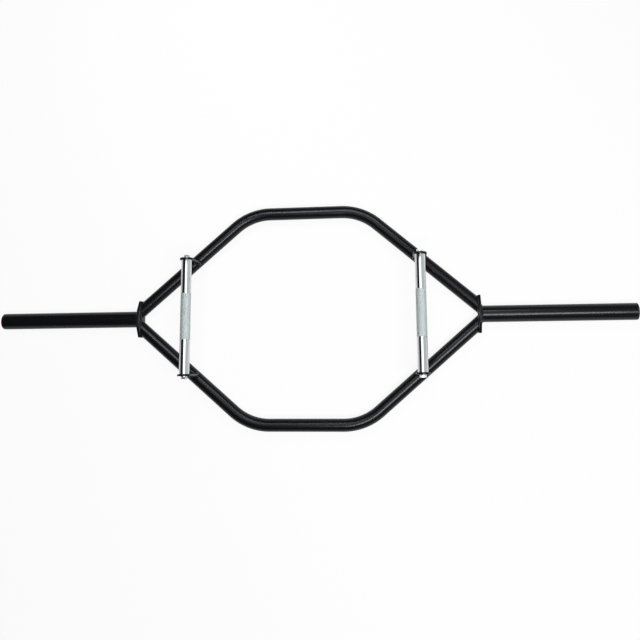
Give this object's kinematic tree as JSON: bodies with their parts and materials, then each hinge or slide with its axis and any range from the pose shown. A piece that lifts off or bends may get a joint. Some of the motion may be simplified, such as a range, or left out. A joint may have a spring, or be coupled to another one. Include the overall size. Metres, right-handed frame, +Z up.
{
  "type": "hex trap bar",
  "caption": "Hexagonal lifting bar of bent black tube with a weight sleeve at each end and raised chrome handles, used by standing inside it and lifting loaded plates.",
  "frame": {"origin": "on the floor under the middle of the bar, at the level of the flange plates' lower edges", "axes": "+X along the weight sleeves towards the right sleeve, +Y from the front rail to the rear rail, +Z up from the floor towards the raised handles"},
  "size_m": [1.928, 0.678, 0.145],
  "materials": {
    "black_paint": "semi-gloss black powder coat",
    "cap_plastic": "satin black moulded plastic",
    "chrome_plate": "polished chrome plate, knurled in the middle",
    "bright_zinc": "bright zinc plate",
    "bare_steel": "bare turned steel"
  },
  "bodies": {
    "root": {"front_frame_tube": "black_paint", "rear_frame_tube": "black_paint", "left_flange_plate": "black_paint", "left_sleeve": "black_paint", "left_sleeve_cap": "cap_plastic", "left_handle": "chrome_plate", "left_sleeve_weld": "black_paint", "left_frame_weld": "black_paint", "left_front_bracket": "black_paint", "left_front_bracket_weld": "black_paint", "left_front_handle_plug": "bare_steel", "left_front_handle_bolt": "bright_zinc", "left_front_handle_washer": "bright_zinc", "left_rear_bracket": "black_paint", "left_rear_bracket_weld": "black_paint", "left_rear_handle_plug": "bare_steel", "left_rear_handle_bolt": "bright_zinc", "left_rear_handle_washer": "bright_zinc", "right_flange_plate": "black_paint", "right_sleeve": "black_paint", "right_sleeve_cap": "cap_plastic", "right_handle": "chrome_plate", "right_sleeve_weld": "black_paint", "right_frame_weld": "black_paint", "right_front_bracket": "black_paint", "right_front_bracket_weld": "black_paint", "right_front_handle_plug": "bare_steel", "right_front_handle_bolt": "bright_zinc", "right_front_handle_washer": "bright_zinc", "right_rear_bracket": "black_paint", "right_rear_bracket_weld": "black_paint", "right_rear_handle_plug": "bare_steel", "right_rear_handle_bolt": "bright_zinc", "right_rear_handle_washer": "bright_zinc"}
  },
  "joints": []
}
